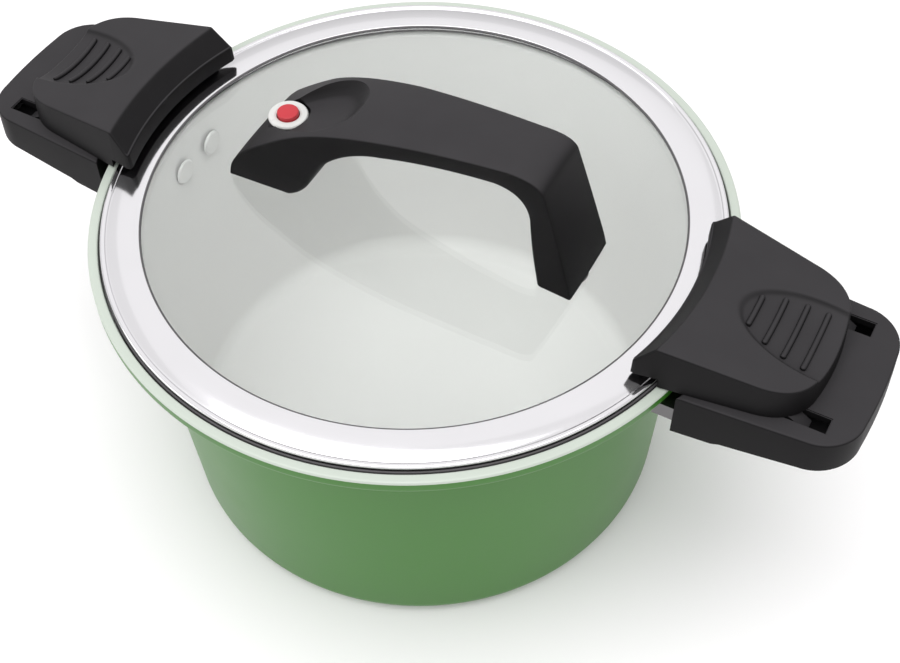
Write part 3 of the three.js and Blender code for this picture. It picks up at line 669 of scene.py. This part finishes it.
def lock_rib(x, half):
    """A bar with round ends that lies across the scoop and follows its floor."""
    verts, faces = [], []
    along, around = 40, 14
    for i in range(along + 1):
        y = -half * math.cos(math.pi * i / along)
        near_end = min(1, (half - abs(y)) / RIB_R)
        size = RIB_R * math.sqrt(1 - (1 - near_end) ** 2) + 0.02
        base = lock_height(Vector((x, y))) + 0.3
        for k in range(around):
            angle = 2 * math.pi * k / around
            verts.append((x + size * math.cos(angle), y, base + size * math.sin(angle)))
    for i in range(along):
        for k in range(around):
            j = (k + 1) % around
            faces.append((i * around + k, i * around + j, (i + 1) * around + j, (i + 1) * around + k))
    faces.append(list(range(around)))
    faces.append(list(range(along * around, (along + 1) * around)))
    return verts, faces


def lock_ribs(name):
    verts, faces = [], []
    for x, half in RIBS:
        rib_verts, rib_faces = lock_rib(x, half)
        faces += [[k + len(verts) for k in face] for face in rib_faces]
        verts += rib_verts
    return piece(name, verts, faces, black_plastic, sharp=60)


def lock_leg(name, y_sign):
    """A leg that runs in the grip's slot, with an outer end that slopes down under the grip's top."""
    plate_low, plate_high = box_mm("right_lock_plate")
    y = sorted(((SLOT_Y[0] + 0.5) * y_sign, (SLOT_Y[1] - 0.5) * y_sign))
    near, far = plate_low.x, plate_high.x
    return prism(name, [
        (near, plate_high.z + 0.3), (far + 6.5, plate_high.z + 0.3), (far + 6.5, grip_top - 4.6),
        (far + 0.5, grip_top - 0.5), (far - 4, grip_top + 2), (far - 4, grip_top + 6),
        (near, grip_top + 6),
    ], y, black_plastic)


right_lock = lock_body("right_lock_top")
left_lock = other_side(right_lock, "left_lock_top")
right_ribs = lock_ribs("right_lock_ribs")
left_ribs = other_side(right_ribs, "left_lock_ribs")
for side, made, ribs in (("right", right_lock, right_ribs), ("left", left_lock, left_ribs)):
    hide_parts(f"{side}_lock_slider")
    for part in (made, ribs):
        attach(part, f"{side}_lock")
for letter, y_sign in (("a", -1), ("b", 1)):
    right_leg = lock_leg(f"right_lock_leg_{letter}", y_sign)
    left_leg = other_side(right_leg, f"left_lock_leg_{letter}")
    for side, leg in (("right", right_leg), ("left", left_leg)):
        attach(leg, f"{side}_lock")
for side in SIDES:
    soften(f"{side}_lock_plate", f"{side}_lock", satin_steel, 0.3)
    soften(f"{side}_detent_spring", "pot", satin_steel, 0.1)

# ---- Lid glass ------------------------------------------------------------------------------
# A slightly domed pane of clear tempered glass, 4 mm thick, with two holes: one for the valve's
# sleeve and one for the handle's screw.


def clear_glass():
    """Clear glass that lets lamplight straight through, so that the pot's inside is lit."""
    material = bpy.data.materials.new("clear_glass")
    material.use_nodes = True
    nodes, links = material.node_tree.nodes, material.node_tree.links
    shader = nodes["Principled BSDF"]
    shader.inputs["Base Color"].default_value = (0.96, 0.975, 0.965, 1)
    shader.inputs["Roughness"].default_value = 0.0
    shader.inputs["IOR"].default_value = 1.5
    shader.inputs["Transmission Weight"].default_value = 1.0
    place = nodes.new("ShaderNodeTexCoord")
    waves = nodes.new("ShaderNodeTexNoise")
    waves.inputs["Scale"].default_value = 1 / (45 * MM)
    waves.inputs["Detail"].default_value = 1
    links.new(place.outputs["Object"], waves.inputs["Vector"])
    bump = nodes.new("ShaderNodeBump")
    bump.inputs["Distance"].default_value = 0.02 * MM
    links.new(waves.outputs["Fac"], bump.inputs["Height"])
    links.new(bump.outputs["Normal"], shader.inputs["Normal"])
    through = nodes.new("ShaderNodeBsdfTransparent")
    through.inputs["Color"].default_value = (0.92, 0.94, 0.93, 1)
    rays = nodes.new("ShaderNodeLightPath")
    mix = nodes.new("ShaderNodeMixShader")
    links.new(rays.outputs["Is Shadow Ray"], mix.inputs["Fac"])
    links.new(shader.outputs["BSDF"], mix.inputs[1])
    links.new(through.outputs["BSDF"], mix.inputs[2])
    links.new(mix.outputs["Shader"], nodes["Material Output"].inputs["Surface"])
    return material


glass = clear_glass()
glass_high = box_mm("lid_glass")[1]
band_low, band_high = box_mm("lid_band")
sleeve_low, sleeve_high = box_mm("valve_sleeve")
screw_low, screw_high = box_mm("lid_handle_screw")
glass_r = glass_high.x
glass_t = 4
band_inner_r = 113.2
DOME_RISE = 2
dome = DOME_RISE / band_inner_r ** 2
valve = ((sleeve_low.x + sleeve_high.x) / 2, 0)
screw_at = ((screw_low.x + screw_high.x) / 2, 0)


def glass_top(r):
    return glass_high.z - dome * r * r


top_line = [(glass_r * i / 24, glass_top(glass_r * i / 24)) for i in range(25)]
edge_line = [(glass_r, glass_top(glass_r) - 0.6), (glass_r, glass_top(glass_r) - glass_t + 0.6)]
under_line = [(r, z - glass_t) for r, z in reversed(top_line)]
pane = turned("lid_pane", top_line[:-1] + [(glass_r - 0.6, top_line[-1][1])] + edge_line
              + [(glass_r - 0.6, under_line[0][1])] + under_line[1:], glass, steps=192)
HOLE_Z = (130, 160)


def drill(radius, centre, steps, material):
    low, high = HOLE_Z
    return turned("hole", [(0, low), (radius, low), (radius, high), (0, high)], material,
                  centre=centre, steps=steps)


valve_hole = drill(5.5, valve, 40, glass)
screw_hole = drill(2.6, screw_at, 32, glass)
cut(pane, valve_hole, screw_hole)
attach(pane, "lid")
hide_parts("lid_glass")

# ---- Lid band -------------------------------------------------------------------------------
# Mirror-polished stainless steel, spun round the glass: a wide flat leaf on top that slopes to a
# rolled hem at the outside, and a narrow leaf underneath.
band_steel = spun_steel("band_steel", (0.88, 0.865, 0.89), 0.11, ring_size=0.4, ring_depth=0.0006)
hem_r = band_high.x
leaf_t = 0.7
BAND_CROWN = 0.45
leaf_top = band_high.z
hem_z = leaf_top - 1.5
leaf_low = band_low.z
top_leaf = []
for k in range(13):
    share = k / 12
    leaf_r = band_inner_r + (hem_r - 2.4 - band_inner_r) * share
    leaf_z = leaf_top - 0.1 + (hem_z - leaf_top) * share + BAND_CROWN * (1 - (2 * share - 1) ** 2)
    top_leaf.append((leaf_r, leaf_z, 0.3 if k in (0, 12) else 0))
top_leaf.reverse()
band_profile = rounded([
    (band_inner_r, leaf_top - leaf_t, 0.2),
    (hem_r - 2.2, hem_z - leaf_t, 0.2),
    (hem_r - 2.2, leaf_low + leaf_t, 0.2),
    (band_inner_r + 2, leaf_low + leaf_t, 0.2),
    (band_inner_r + 2, leaf_low, 0.2),
    (hem_r - 1.0, leaf_low, 0.8),
    (hem_r - 0.7, hem_z - 1.4, 0.2),
    (hem_r, hem_z - 1.1, 0.6),
    (hem_r, hem_z + 0.55, 0.9),
    (hem_r - 2.0, hem_z + 0.55, 0.9),
] + top_leaf, closed=True, steps=5)
band = turned("lid_rim_band", band_profile, band_steel, steps=256, closed=True)
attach(band, "lid")
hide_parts("lid_band")

# ---- Gasket ---------------------------------------------------------------------------------
# A grey silicone ring under the band. It seals on the pot's ledge, and its thin outer lip stands
# up in the gap between the band's hem and the pot's edge.
grey_silicone = finish("grey_silicone", (0.09, 0.085, 0.09), 0.55, shift=0.08, shift_size=8,
                       grain=0.5, grain_depth=0.01)
lip_out = gasket_high.x
gasket_profile = rounded([
    (lip_out - 13, gasket_low.z, 0.4),
    (lip_out, gasket_low.z, 0.5),
    (lip_out, gasket_high.z, 0.3),
    (lip_out - 0.8, gasket_high.z, 0.3),
    (lip_out - 1.2, leaf_low - 0.6, 0.3),
    (lip_out - 12.8, leaf_low - 0.4, 0.5),
], closed=True, steps=5)
gasket = turned("lid_gasket_ring", gasket_profile, grey_silicone, steps=192, closed=True)
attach(gasket, "lid")
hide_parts("lid_gasket")

# ---- Seam ring ------------------------------------------------------------------------------
# A thin bead of the same grey silicone, pressed between the glass and the band's inner edge. It
# keeps crumbs and water out of the joint, and it shows as a dark line round the glass.
seam_z = glass_top(band_inner_r)
seam_in, seam_out = band_inner_r - 0.75, band_inner_r + 0.05
seam_profile = rounded([
    (seam_in, seam_z - 0.1, 0.2), (seam_out, seam_z - 0.1, 0.1),
    (seam_out, leaf_top - 0.15, 0.2), (seam_in, seam_z + 0.5, 0.3),
], closed=True, steps=4)
seam = turned("lid_glass_seam", seam_profile, grey_silicone, steps=256, closed=True)
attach(seam, "lid")

# ---- Lid handle -----------------------------------------------------------------------------
# A black phenolic bridge from a wide foot that holds the valve to a narrower foot with a screw.
# Its top is gently crowned, with crisp edges, and a thumb dish opens into the valve's well.
handle_low, handle_high = box_mm("lid_handle")
handle_foot_z = handle_low.z
crest = handle_high.z
left_x, right_x = handle_low.x, handle_high.x
TOP_LINE = [
    (left_x, handle_foot_z),
    ((left_x + 2, handle_foot_z + 9), (left_x + 11, handle_foot_z + 17.5)),
    ((left_x + 20, handle_foot_z + 25), (left_x + 30, crest - 20.5)),
    ((left_x + 45, crest - 10.8), (left_x + 73, crest - 5.3)),
    ((left_x + 98, crest - 0.8), (left_x + 128, crest + 0.7)),
    ((right_x - 18.5, crest + 1.2), (right_x - 15.8, crest - 4.2)),
    ((right_x - 8.6, crest - 27), (right_x - 1.6, handle_foot_z)),
]
UNDER_LINE = [
    (left_x + 30.5, handle_foot_z),
    ((left_x + 36, handle_foot_z + 2.5), (left_x + 39.5, handle_foot_z + 9.5)),
    ((left_x + 44.5, handle_foot_z + 20), (left_x + 50, handle_foot_z + 26)),
    ((left_x + 60, crest - 16.8), (left_x + 74, crest - 14.5)),
    ((left_x + 96, crest - 9.5), (left_x + 121, crest - 9.1)),
    ((right_x - 24, crest - 8.9), (right_x - 21.8, crest - 21.3)),
    ((right_x - 20.6, handle_foot_z + 15), (right_x - 17, handle_foot_z)),
]
HALF_WIDTHS = [20.2, 20.9, 20.5, 18.4, 14.6, 15.2, 17.3]
CROWN = [0.5, 0.8, 1.6, 1.8, 1.6, 0.6, 0.3]
BRIDGE_STEPS = 22
FOOT_BLEND = 4


def traced(line):
    points = [Vector(line[0])]
    for control, end in line[1:]:
        points += bezier(points[-1], Vector(control), Vector(end), BRIDGE_STEPS)
    return points


def between(values, station):
    place = station / BRIDGE_STEPS
    i = min(int(place), len(values) - 2)
    share = place - i
    return values[i] + (values[i + 1] - values[i]) * share


def bridge_section(half, height, crown):
    """(across, up) points of the bridge: flat drafted sides, a crowned top with tight edges."""
    top_steps, edge_r, under_r = 16, 0.8, 2.2
    corners = rounded([(-half, height, edge_r), (-half + 0.9, 0, under_r),
                       (half - 0.9, 0, under_r), (half, height, edge_r)], closed=True, steps=5)
    start, end = corners[-1], corners[0]
    for k in range(1, top_steps):
        corners.append(start.lerp(end, k / top_steps))
    points = []
    for p in corners:
        lift = crown * (1 - (p.x / half) ** 2) * max(0, p.y / height)
        points.append((p.x, p.y + lift))
    return points


def bridge(name):
    tops, unders = traced(TOP_LINE), traced(UNDER_LINE)
    verts, faces = [], []
    count = 0
    for station, (top, under) in enumerate(zip(tops, unders)):
        up = top - under
        section = bridge_section(between(HALF_WIDTHS, station), up.length, between(CROWN, station))
        count = len(section)
        for across, height in section:
            p = under + up.normalized() * height
            height = max(p.y, handle_foot_z)
            close = max(0, 1 - (height - handle_foot_z) / FOOT_BLEND)
            drop = handle_foot_z - 0.15 - glass_top(math.hypot(p.x, across))
            verts.append((p.x, across, height - close * drop))
    stations = len(tops)
    for i in range(stations - 1):
        for k in range(count):
            j = (k + 1) % count
            faces.append((i * count + k, i * count + j, (i + 1) * count + j, (i + 1) * count + k))
    faces.append(list(range(count)))
    faces.append(list(range((stations - 1) * count, stations * count)))
    return piece(name, verts, faces, black_plastic, sharp=30)


def dish_cutter():
    """The thumb dish: a sloping floor that runs out past the valve, and a wall that leans back."""
    start_x, start_z, slope, stretch = -50, crest - 27, 0.5, 1.75
    rings = [(-40, 8, 0), (-40, 10.8, 0.1), (-39.6, 12.2, 0.5), (-39, 13.3, 1.4), (-37.4, 15.3, 4),
             (-35.4, 17.6, 7), (-32.8, 20.6, 11), (-27, 28, 22)]
    around = 96
    verts, faces = [], []
    for centre_x, radius, lift in rings:
        for k in range(around):
            angle = 2 * math.pi * k / around
            x = centre_x + radius * math.cos(angle) * (stretch if math.cos(angle) < 0 else 1)
            verts.append((x, radius * math.sin(angle), start_z + slope * (x - start_x) + lift))
    for i in range(len(rings) - 1):
        for k in range(around):
            j = (k + 1) % around
            faces.append((i * around + k, i * around + j, (i + 1) * around + j, (i + 1) * around + k))
    faces.append(list(range(around)))
    faces.append(list(range((len(rings) - 1) * around, len(rings) * around)))
    return piece("dish", verts, faces, black_plastic)


cap_low, cap_high = box_mm("valve_cap")
well_floor = cap_high.z - 3.5
lid_handle = bridge("lid_bridge_handle")
WELL_R, ABOVE_Z = 9.4, 215
well = turned("well", rounded([
    (0, well_floor, 0), (WELL_R, well_floor, 0.8), (WELL_R, ABOVE_Z, 0), (0, ABOVE_Z, 0),
]), black_plastic, centre=valve, steps=64)
bore = turned("bore", [(0, 130), (6.5, 130), (6.5, 180), (0, 180)], black_plastic,
              centre=valve, steps=48)
cut(lid_handle, dish_cutter(), well, bore)
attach(lid_handle, "lid")
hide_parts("lid_handle")

# ---- Valve ----------------------------------------------------------------------------------
# A polished steel sleeve clamped through the glass by a hexagon nut and a silicone seal. A white
# cap covers its mouth, and a sprung red button on a steel stem pushes a silicone plug off its seat.
sleeve_steel = finish("sleeve_steel", (0.74, 0.73, 0.74), 0.16, metallic=1, shift=0.03, shift_size=6,
                      grain=0.4, grain_depth=0.002)
white_plastic = finish("white_plastic", (0.63, 0.63, 0.615), 0.28, shift=0.02, shift_size=5, grain=0.5,
                       grain_depth=0.004)
red_plastic = finish("red_plastic", (0.5, 0.024, 0.036), 0.34, shift=0.06, shift_size=4, grain=0.4,
                     grain_depth=0.006)


def valve_part(name, node, body, material, corners, closed=True, steps=64):
    made = turned(name, rounded(corners, closed=closed, steps=4), material, centre=valve,
                  steps=steps, closed=closed)
    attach(made, body)
    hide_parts(node)
    return made


seat_r, sleeve_r, mouth_r = 5.2, 6.2, 7.6
shoulder_z = 162
mouth_z = sleeve_high.z
valve_part("valve_sleeve_tube", "valve_sleeve", "lid", sleeve_steel, [
    (2.1, sleeve_low.z, 0.2), (seat_r, sleeve_low.z, 0.3), (seat_r, handle_foot_z + 0.6, 0),
    (sleeve_r, handle_foot_z + 0.6, 0.1), (sleeve_r, mouth_z - 1.2, 0.4), (mouth_r, mouth_z - 0.9, 0.2),
    (mouth_r, mouth_z, 0.3), (4.9, mouth_z, 0.2), (4.9, shoulder_z, 0.4), (2.1, shoulder_z, 0.2),
])
cap_r = cap_high.x - valve[0]
valve_part("valve_cap_disc", "valve_cap", "lid", white_plastic, [
    (4.9, cap_low.z, 0.2), (cap_r - 0.2, cap_low.z, 0.5), (cap_r, cap_high.z - 0.7, 0.4),
    (cap_r - 0.5, cap_high.z, 0.5), (5.6, cap_high.z, 0.2), (5.3, cap_high.z - 0.25, 0.2),
    (4.9, cap_high.z - 0.25, 0.1),
])
button_low, button_high = box_mm("valve_button")
button_r = button_high.x - valve[0]
valve_part("valve_button_cap", "valve_button", "button", red_plastic, [
    (0, button_high.z - 1.6, 0), (1.8, button_high.z - 1.6, 0), (1.8, button_low.z, 0.2),
    (button_r, button_low.z, 0.3), (button_r, button_high.z, 0.45), (0, button_high.z, 0),
], closed=False)
stem_low, stem_high = box_mm("valve_stem")
valve_part("valve_stem_pin", "valve_stem", "button", sleeve_steel, [
    (0, stem_low.z, 0), (3, stem_low.z, 0.4), (3, stem_low.z + 1.1, 0.2), (1.5, stem_low.z + 1.1, 0.1),
    (1.5, stem_high.z, 0.3), (0, stem_high.z, 0),
], closed=False, steps=40)
plug_low, plug_high = box_mm("valve_plug")
valve_part("valve_plug_seal", "valve_plug", "button", grey_silicone, [
    (1.8, plug_low.z, 0.2), (5, plug_low.z, 0.5), (5, plug_low.z + 2, 0.5), (3.6, plug_high.z, 0.3),
    (1.8, plug_high.z, 0.1),
])
nut_low, nut_high = box_mm("valve_nut")
nut_profile = rounded([(5.5, nut_low.z, 0.2), (8.2, nut_low.z, 0.1), (9, nut_low.z + 0.7, 0.1),
                       (9, nut_high.z, 0.1), (5.5, nut_high.z, 0.2)], closed=True, steps=2)
nut = turned("valve_hex_nut", nut_profile, satin_steel, centre=valve, steps=6, closed=True, sharp=25)
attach(nut, "lid")
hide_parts("valve_nut")
seal_low, seal_high = box_mm("valve_seal")
valve_part("valve_seal_ring", "valve_seal", "lid", grey_silicone, [
    (5.5, seal_low.z, 0.2), (9, seal_low.z, 0.4), (9, seal_high.z, 0.3), (5.5, seal_high.z, 0.2),
])
washer_low, washer_high = box_mm("lid_handle_washer")
washer_profile = rounded([(2.2, washer_low.z, 0.2), (7, washer_low.z, 0.6), (7, washer_high.z, 0.3),
                          (2.2, washer_high.z, 0.2)], closed=True, steps=4)
washer = turned("lid_screw_washer", washer_profile, grey_silicone, centre=screw_at, steps=64,
                closed=True)
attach(washer, "lid")
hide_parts("lid_handle_washer")


def coil(name, low_z, high_z, radius, wire_r, turns):
    around, along = 10, 160
    verts, faces = [], []
    for i in range(along + 1):
        angle = 2 * math.pi * turns * i / along
        z = low_z + (high_z - low_z) * i / along
        out = Vector((math.cos(angle), math.sin(angle), 0))
        middle = Vector((valve[0], 0, z)) + out * radius
        for k in range(around):
            lean = 2 * math.pi * k / around
            verts.append(middle + wire_r * (out * math.cos(lean) + Vector((0, 0, math.sin(lean)))))
    for i in range(along):
        for k in range(around):
            j = (k + 1) % around
            faces.append((i * around + k, i * around + j, (i + 1) * around + j, (i + 1) * around + k))
    faces.append(list(range(around)))
    faces.append(list(range(along * around, (along + 1) * around)))
    return piece(name, verts, faces, satin_steel)


spring_low, spring_high = box_mm("valve_spring")
spring = coil("valve_coil_spring", spring_low.z + 0.35, spring_high.z - 0.35, 3.2, 0.35, 5)
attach(spring, "lid")
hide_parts("valve_spring")
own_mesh(spring)

# ---- Studio ---------------------------------------------------------------------------------
# A white floor under a pale sky that dims toward the horizon, a large softbox above the front, a
# faint one behind and a small one at the left. The camera looks down from the front right.
floor_finish = finish("floor_paper", (0.975, 0.955, 0.97), 0.6, shift=0.01, shift_size=400, grain=2,
                      grain_depth=0.01)
floor_mesh = bpy.data.meshes.new("floor")
FLOOR_HALF = 15.0
corners = [(-1, -1), (1, -1), (1, 1), (-1, 1)]
floor_mesh.from_pydata([(x * FLOOR_HALF, y * FLOOR_HALF, 0) for x, y in corners], [], [(0, 1, 2, 3)])
floor_mesh.materials.append(floor_finish)
floor = bpy.data.objects.new("floor", floor_mesh)
floor.location.z = -0.0002
bpy.context.scene.collection.objects.link(floor)


def softbox(name, place, size, watts, aim=(0, 0, 0.12)):
    light = bpy.data.lights.new(name, "AREA")
    light.shape = "RECTANGLE"
    light.size, light.size_y = size
    light.energy = watts
    lamp = bpy.data.objects.new(name, light)
    lamp.location = place
    toward = Vector(aim) - Vector(place)
    lamp.rotation_euler = toward.to_track_quat("-Z", "Y").to_euler()
    bpy.context.scene.collection.objects.link(lamp)
    return lamp


softbox("softbox_back", (-0.6, 1.05, 1.6), (2.0, 1.6), 1.2)
softbox("softbox_left", (-1.9, -1.3, 0.9), (1.4, 1.0), 6)
softbox("softbox_top", (0.1, -0.6, 2.3), (2.4, 2.4), 38)
world = bpy.data.worlds.new("studio")
world.use_nodes = True
sky_nodes, sky_links = world.node_tree.nodes, world.node_tree.links
sky_place = sky_nodes.new("ShaderNodeTexCoord")
sky_axes = sky_nodes.new("ShaderNodeSeparateXYZ")
sky_links.new(sky_place.outputs["Generated"], sky_axes.inputs["Vector"])
sky_level = sky_nodes.new("ShaderNodeMapRange")
sky_level.interpolation_type = "SMOOTHSTEP"
sky_level.inputs["From Min"].default_value = 0.0
sky_level.inputs["From Max"].default_value = 0.68
sky_level.inputs["To Min"].default_value = 0.55
sky_level.inputs["To Max"].default_value = 0.85
sky_links.new(sky_axes.outputs["Z"], sky_level.inputs["Value"])
sky_links.new(sky_level.outputs["Result"], sky_nodes["Background"].inputs["Strength"])
sky_nodes["Background"].inputs["Color"].default_value = (1, 1, 1, 1)
bpy.context.scene.world = world
bpy.context.scene.view_settings.view_transform = "Standard"

azimuth, elevation, roll = math.radians(29.66), math.radians(51.37), math.radians(-1.6)
distance = 0.6137
aim = Vector((0, 0, 0.1463))
toward_camera = Vector((math.sin(azimuth) * math.cos(elevation),
                        -math.cos(azimuth) * math.cos(elevation), math.sin(elevation)))
level = Vector((0, 0, 1)).cross(toward_camera).normalized()
upright = toward_camera.cross(level)
right = level * math.cos(roll) + upright * math.sin(roll)
up = upright * math.cos(roll) - level * math.sin(roll)
shift_right, shift_up = 0.0148, -0.0517
stand = aim + right * shift_right + up * shift_up + toward_camera * distance
camera = bpy.data.objects.new("camera", bpy.data.cameras.new("camera"))
camera.data.sensor_width = 36
camera.data.lens = 59.27
camera.data.clip_start = 0.01
camera.matrix_world = Matrix((
    (right.x, up.x, toward_camera.x, stand.x),
    (right.y, up.y, toward_camera.y, stand.y),
    (right.z, up.z, toward_camera.z, stand.z),
    (0, 0, 0, 1),
))
bpy.context.scene.collection.objects.link(camera)
bpy.context.scene.camera = camera
